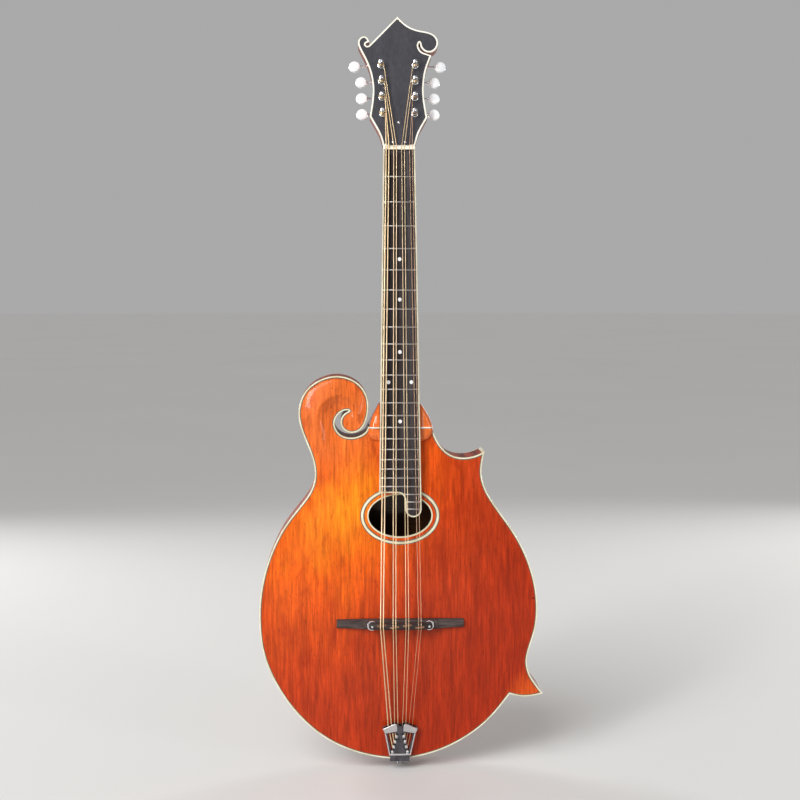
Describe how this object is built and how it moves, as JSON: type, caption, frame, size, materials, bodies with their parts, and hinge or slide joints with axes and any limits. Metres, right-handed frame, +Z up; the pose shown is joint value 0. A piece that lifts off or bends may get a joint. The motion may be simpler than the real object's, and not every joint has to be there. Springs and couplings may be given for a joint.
{
  "type": "mandocello",
  "caption": "Scroll-body mandocello in the mandolin family: carved spruce top, maple back, oval soundhole, paired strings on a movable bridge, geared tuning machines.",
  "frame": {"origin": "centre of the end pin's flat foot, the lowest point of the instrument held upright", "axes": "+Z up towards the headstock, +X towards the treble side, -Y out of the soundboard; the ribs' mid plane is y = 0"},
  "size_m": [0.3791, 0.126, 1.0068],
  "materials": {
    "spruce": "gloss amber sunburst over straight-grained spruce",
    "maple": "gloss red-amber sunburst over flamed maple",
    "cream": "aged cream binding",
    "overlay": "satin charcoal veneer",
    "ebony": "oiled ebony",
    "bone": "polished bone",
    "chrome": "polished, with engraved lines on the machine covers",
    "pearl": "mother-of-pearl look",
    "bronze": "wound phosphor bronze"
  },
  "bodies": {
    "instrument": {"soundboard": "spruce", "back_plate": "maple", "top_binding": "cream", "back_binding": "cream", "rib_bass": "maple", "rib_cutaway": "maple", "rib_waist": "maple", "scroll_block": "maple", "neck_block": "maple", "tail_block": "maple", "point_block_upper": "maple", "point_block_lower": "maple", "transverse_brace": "spruce", "neck": "maple", "headstock_overlay": "overlay", "truss_rod_cover": "overlay", "fingerboard": "ebony", "nut": "bone", "bridge_base": "ebony", "tailpiece": "chrome", "endpin": "chrome", "machine_base_bass": "chrome", "machine_base_treble": "chrome", "machine_cover_bass": "chrome", "machine_cover_treble": "chrome", "string_1": "bronze", "string_2": "bronze", "string_3": "bronze", "string_4": "bronze", "string_5": "bronze", "string_6": "bronze", "string_7": "bronze", "string_8": "bronze"},
    "key_bass_1": {"worm_shaft_bass_1": "chrome", "tuner_button_bass_1": "pearl"},
    "post_bass_1": {"string_post_bass_1": "chrome"},
    "key_bass_2": {"worm_shaft_bass_2": "chrome", "tuner_button_bass_2": "pearl"},
    "post_bass_2": {"string_post_bass_2": "chrome"},
    "key_bass_3": {"worm_shaft_bass_3": "chrome", "tuner_button_bass_3": "pearl"},
    "post_bass_3": {"string_post_bass_3": "chrome"},
    "key_bass_4": {"worm_shaft_bass_4": "chrome", "tuner_button_bass_4": "pearl"},
    "post_bass_4": {"string_post_bass_4": "chrome"},
    "key_treble_1": {"worm_shaft_treble_1": "chrome", "tuner_button_treble_1": "pearl"},
    "post_treble_1": {"string_post_treble_1": "chrome"},
    "key_treble_2": {"worm_shaft_treble_2": "chrome", "tuner_button_treble_2": "pearl"},
    "post_treble_2": {"string_post_treble_2": "chrome"},
    "key_treble_3": {"worm_shaft_treble_3": "chrome", "tuner_button_treble_3": "pearl"},
    "post_treble_3": {"string_post_treble_3": "chrome"},
    "key_treble_4": {"worm_shaft_treble_4": "chrome", "tuner_button_treble_4": "pearl"},
    "post_treble_4": {"string_post_treble_4": "chrome"},
    "saddle": {"bridge_saddle": "ebony"},
    "wheel_bass": {"bridge_wheel_bass": "chrome"},
    "wheel_treble": {"bridge_wheel_treble": "chrome"}
  },
  "joints": [
    {"name": "key_bass_1_turn", "type": "hinge", "parent": "instrument", "child": "key_bass_1", "pos_m": [-0.02146, 0.02516, 0.87464], "axis": [-0.9997, -0.0063, -0.0216], "continuous": true},
    {"name": "post_bass_1_turn", "type": "hinge", "parent": "instrument", "child": "post_bass_1", "pos_m": [-0.0213, 0.0232, 0.86792], "axis": [0, -0.9598, 0.2807], "continuous": true},
    {"name": "key_bass_2_turn", "type": "hinge", "parent": "instrument", "child": "key_bass_2", "pos_m": [-0.02197, 0.03158, 0.89659], "axis": [-0.9997, -0.0063, -0.0216], "continuous": true},
    {"name": "post_bass_2_turn", "type": "hinge", "parent": "instrument", "child": "post_bass_2", "pos_m": [-0.02182, 0.02961, 0.88987], "axis": [0, -0.9598, 0.2807], "continuous": true},
    {"name": "key_bass_3_turn", "type": "hinge", "parent": "instrument", "child": "key_bass_3", "pos_m": [-0.02249, 0.038, 0.91853], "axis": [-0.9997, -0.0063, -0.0216], "continuous": true},
    {"name": "post_bass_3_turn", "type": "hinge", "parent": "instrument", "child": "post_bass_3", "pos_m": [-0.02233, 0.03603, 0.91181], "axis": [0, -0.9598, 0.2807], "continuous": true},
    {"name": "key_bass_4_turn", "type": "hinge", "parent": "instrument", "child": "key_bass_4", "pos_m": [-0.023, 0.04441, 0.94048], "axis": [-0.9997, -0.0063, -0.0216], "continuous": true},
    {"name": "post_bass_4_turn", "type": "hinge", "parent": "instrument", "child": "post_bass_4", "pos_m": [-0.02285, 0.04245, 0.93376], "axis": [0, -0.9598, 0.2807], "continuous": true},
    {"name": "key_treble_1_turn", "type": "hinge", "parent": "instrument", "child": "key_treble_1", "pos_m": [0.02146, 0.02516, 0.87464], "axis": [0.9997, -0.0063, -0.0216], "continuous": true},
    {"name": "post_treble_1_turn", "type": "hinge", "parent": "instrument", "child": "post_treble_1", "pos_m": [0.0213, 0.0232, 0.86792], "axis": [0, -0.9598, 0.2807], "continuous": true},
    {"name": "key_treble_2_turn", "type": "hinge", "parent": "instrument", "child": "key_treble_2", "pos_m": [0.02197, 0.03158, 0.89659], "axis": [0.9997, -0.0063, -0.0216], "continuous": true},
    {"name": "post_treble_2_turn", "type": "hinge", "parent": "instrument", "child": "post_treble_2", "pos_m": [0.02182, 0.02961, 0.88987], "axis": [0, -0.9598, 0.2807], "continuous": true},
    {"name": "key_treble_3_turn", "type": "hinge", "parent": "instrument", "child": "key_treble_3", "pos_m": [0.02249, 0.038, 0.91853], "axis": [0.9997, -0.0063, -0.0216], "continuous": true},
    {"name": "post_treble_3_turn", "type": "hinge", "parent": "instrument", "child": "post_treble_3", "pos_m": [0.02233, 0.03603, 0.91181], "axis": [0, -0.9598, 0.2807], "continuous": true},
    {"name": "key_treble_4_turn", "type": "hinge", "parent": "instrument", "child": "key_treble_4", "pos_m": [0.023, 0.04441, 0.94048], "axis": [0.9997, -0.0063, -0.0216], "continuous": true},
    {"name": "post_treble_4_turn", "type": "hinge", "parent": "instrument", "child": "post_treble_4", "pos_m": [0.02285, 0.04245, 0.93376], "axis": [0, -0.9598, 0.2807], "continuous": true},
    {"name": "saddle_height", "type": "slide", "parent": "instrument", "child": "saddle", "axis": [0, -1, 0], "range_m": [-0.0014, 0]},
    {"name": "wheel_bass_turn", "type": "hinge", "parent": "saddle", "child": "wheel_bass", "pos_m": [-0.0375, -0.055, 0.2015], "axis": [0, -1, 0], "range_deg": [-720, 0]},
    {"name": "wheel_treble_turn", "type": "hinge", "parent": "saddle", "child": "wheel_treble", "pos_m": [0.0375, -0.055, 0.2015], "axis": [0, -1, 0], "range_deg": [-720, 0]}
  ],
  "couplings": [
    {"joint": "post_bass_1_turn", "follows": "key_bass_1_turn", "ratio": -0.071429},
    {"joint": "post_bass_2_turn", "follows": "key_bass_2_turn", "ratio": -0.071429},
    {"joint": "post_bass_3_turn", "follows": "key_bass_3_turn", "ratio": -0.071429},
    {"joint": "post_bass_4_turn", "follows": "key_bass_4_turn", "ratio": -0.071429},
    {"joint": "post_treble_1_turn", "follows": "key_treble_1_turn", "ratio": 0.071429},
    {"joint": "post_treble_2_turn", "follows": "key_treble_2_turn", "ratio": 0.071429},
    {"joint": "post_treble_3_turn", "follows": "key_treble_3_turn", "ratio": 0.071429},
    {"joint": "post_treble_4_turn", "follows": "key_treble_4_turn", "ratio": 0.071429},
    {"joint": "saddle_height", "follows": "wheel_bass_turn", "m_per_rad": 0.00011141},
    {"joint": "wheel_treble_turn", "follows": "wheel_bass_turn", "ratio": 1}
  ]
}
